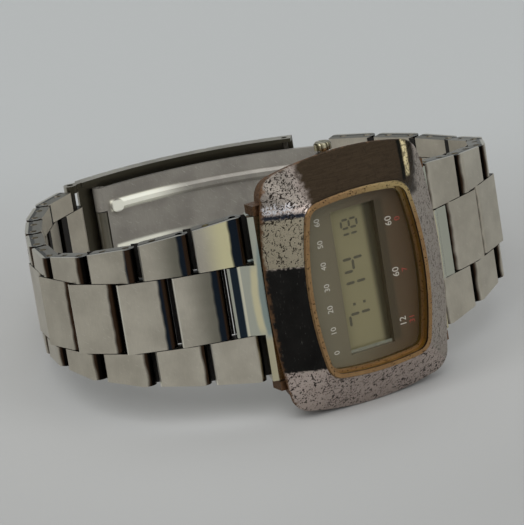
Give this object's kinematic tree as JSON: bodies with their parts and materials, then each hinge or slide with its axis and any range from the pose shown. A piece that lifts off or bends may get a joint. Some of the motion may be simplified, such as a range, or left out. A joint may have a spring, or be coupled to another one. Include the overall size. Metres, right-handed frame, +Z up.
{
  "type": "lcd wristwatch",
  "caption": "Digital LCD wristwatch: cushion shaped metal case with a window rim and one side pusher, on a three row link bracelet closed by a folding clasp, lying on its side.",
  "frame": {"origin": "under the middle of the watch's box, on the surface it lies on, on its 9 o'clock side", "axes": "+X along the case from 12 to 6 o'clock, +Y from the dial towards the clasp, +Z up, close to the direction of 3 o'clock; the watch leans back by 9.61 degrees"},
  "size_m": [0.0735, 0.0682, 0.0388],
  "materials": {
    "case_chrome": "worn, pitted polish",
    "rim_gold": "polished gold tone, worn",
    "crystal": "clear, lightly scuffed",
    "mask": "dark olive grey",
    "lcd": "grey-green liquid crystal display",
    "reflector": "satin foil",
    "black_rubber": "matte",
    "frame_plastic": "moulded cream",
    "board": "solder mask",
    "chip": "moulded epoxy",
    "cell_steel": "drawn steel",
    "contact_brass": "spring brass",
    "steel": "brushed and polished, worn",
    "bar_steel": "drawn wire"
  },
  "bodies": {
    "case": {"case_body": "case_chrome", "window_rim": "rim_gold", "crystal": "crystal", "dial_mask": "mask", "lcd_front_glass": "lcd", "lcd_rear_glass": "lcd", "lcd_reflector": "reflector", "connector_strips": "black_rubber", "module_frame": "frame_plastic", "circuit_board": "board", "driver_chip": "chip", "quartz_can": "cell_steel", "trimmer": "contact_brass", "battery": "cell_steel", "battery_strap": "contact_brass", "strap_screw": "cell_steel", "contact_spring": "contact_brass", "back_gasket": "black_rubber", "case_back": "steel", "pusher_tube": "bar_steel", "pusher_spring": "bar_steel", "end_link_12": "steel", "end_link_6": "steel", "end_bar_12": "bar_steel", "end_bar_6": "bar_steel"},
    "pusher": {"pusher": "steel", "pusher_seal": "black_rubber", "pusher_clip": "bar_steel"},
    "unit_12_1": {"link_12_1": "steel"},
    "unit_12_2": {"link_12_2": "steel"},
    "unit_12_3": {"link_12_3": "steel"},
    "unit_12_4": {"link_12_4": "steel"},
    "unit_12_5": {"link_12_5": "steel"},
    "unit_12_6": {"link_12_6": "steel"},
    "unit_12_7": {"link_12_7": "steel"},
    "unit_12_8": {"link_12_8": "steel"},
    "unit_12_9": {"link_12_9": "steel"},
    "cover": {"clasp_cover": "steel", "cover_pin": "bar_steel", "cover_bar": "bar_steel"},
    "unit_6_1": {"link_6_1": "steel"},
    "unit_6_2": {"link_6_2": "steel"},
    "unit_6_3": {"link_6_3": "steel"},
    "unit_6_4": {"link_6_4": "steel"},
    "unit_6_5": {"link_6_5": "steel"},
    "unit_6_6": {"link_6_6": "steel"},
    "unit_6_7": {"link_6_7": "steel"},
    "blade": {"clasp_blade": "steel", "blade_bar": "bar_steel", "fold_pin": "bar_steel"},
    "leaf": {"clasp_leaf": "steel"}
  },
  "joints": [
    {"name": "pusher_press", "type": "slide", "parent": "case", "child": "pusher", "axis": [0, -0.167, -0.986], "range_m": [0, 0.0006], "stiffness_N_per_m": 600, "springref_m": -0.0005, "deforming": ["pusher_spring"]},
    {"name": "hinge_12_1", "type": "hinge", "parent": "case", "child": "unit_12_1", "pos_m": [-0.01507, -0.0234, 0.01836], "axis": [0, 0.167, 0.986], "range_deg": [0, 2]},
    {"name": "hinge_12_2", "type": "hinge", "parent": "unit_12_1", "child": "unit_12_2", "pos_m": [-0.02249, -0.02045, 0.01786], "axis": [0, 0.167, 0.986], "range_deg": [0, 9]},
    {"name": "hinge_12_3", "type": "hinge", "parent": "unit_12_2", "child": "unit_12_3", "pos_m": [-0.02935, -0.01638, 0.01717], "axis": [0, 0.167, 0.986], "range_deg": [0, 25]},
    {"name": "hinge_12_4", "type": "hinge", "parent": "unit_12_3", "child": "unit_12_4", "pos_m": [-0.03382, -0.00984, 0.01606], "axis": [0, 0.167, 0.986], "range_deg": [0, 25]},
    {"name": "hinge_12_5", "type": "hinge", "parent": "unit_12_4", "child": "unit_12_5", "pos_m": [-0.03507, -0.00205, 0.01475], "axis": [0, 0.167, 0.986], "range_deg": [0, 21]},
    {"name": "hinge_12_6", "type": "hinge", "parent": "unit_12_5", "child": "unit_12_6", "pos_m": [-0.03341, 0.00566, 0.01344], "axis": [0, 0.167, 0.986], "range_deg": [0, 10]},
    {"name": "hinge_12_7", "type": "hinge", "parent": "unit_12_6", "child": "unit_12_7", "pos_m": [-0.03041, 0.01298, 0.0122], "axis": [0, 0.167, 0.986], "range_deg": [0, 5]},
    {"name": "hinge_12_8", "type": "hinge", "parent": "unit_12_7", "child": "unit_12_8", "pos_m": [-0.02678, 0.02, 0.01101], "axis": [0, 0.167, 0.986], "range_deg": [0, 9]},
    {"name": "hinge_12_9", "type": "hinge", "parent": "unit_12_8", "child": "unit_12_9", "pos_m": [-0.02208, 0.02638, 0.00993], "axis": [0, 0.167, 0.986], "range_deg": [0, 22]},
    {"name": "cover_hinge", "type": "hinge", "parent": "unit_12_9", "child": "cover", "pos_m": [-0.01529, 0.03056, 0.00922], "axis": [0, 0.167, 0.986], "range_deg": [0, 60]},
    {"name": "hinge_6_1", "type": "hinge", "parent": "case", "child": "unit_6_1", "pos_m": [0.01753, -0.0234, 0.01836], "axis": [0, 0.167, 0.986], "range_deg": [0, 3]},
    {"name": "hinge_6_2", "type": "hinge", "parent": "unit_6_1", "child": "unit_6_2", "pos_m": [0.02483, -0.02019, 0.01782], "axis": [0, 0.167, 0.986], "range_deg": [0, 3]},
    {"name": "hinge_6_3", "type": "hinge", "parent": "unit_6_2", "child": "unit_6_3", "pos_m": [0.03131, -0.01556, 0.01703], "axis": [0, 0.167, 0.986], "range_deg": [0, 4]},
    {"name": "hinge_6_4", "type": "hinge", "parent": "unit_6_3", "child": "unit_6_4", "pos_m": [0.03494, -0.00853, 0.01584], "axis": [0, 0.167, 0.986], "range_deg": [0, 6]},
    {"name": "hinge_6_5", "type": "hinge", "parent": "unit_6_4", "child": "unit_6_5", "pos_m": [0.03508, -0.00064, 0.01451], "axis": [0, 0.167, 0.986], "range_deg": [0, 8]},
    {"name": "hinge_6_6", "type": "hinge", "parent": "unit_6_5", "child": "unit_6_6", "pos_m": [0.03261, 0.00686, 0.01324], "axis": [0, 0.167, 0.986], "range_deg": [0, 10]},
    {"name": "hinge_6_7", "type": "hinge", "parent": "unit_6_6", "child": "unit_6_7", "pos_m": [0.02873, 0.01376, 0.01207], "axis": [0, 0.167, 0.986], "range_deg": [0, 10]},
    {"name": "blade_hinge", "type": "hinge", "parent": "unit_6_7", "child": "blade", "pos_m": [0.02369, 0.01989, 0.01103], "axis": [0, 0.167, 0.986], "range_deg": [0, 6]},
    {"name": "leaf_fold", "type": "hinge", "parent": "blade", "child": "leaf", "pos_m": [-0.01051, 0.03089, 0.00917], "axis": [0, 0.167, 0.986], "range_deg": [0, 70.1]}
  ],
  "couplings": [
    {"joint": "leaf_fold", "follows": "cover_hinge", "ratio": 1.16}
  ]
}
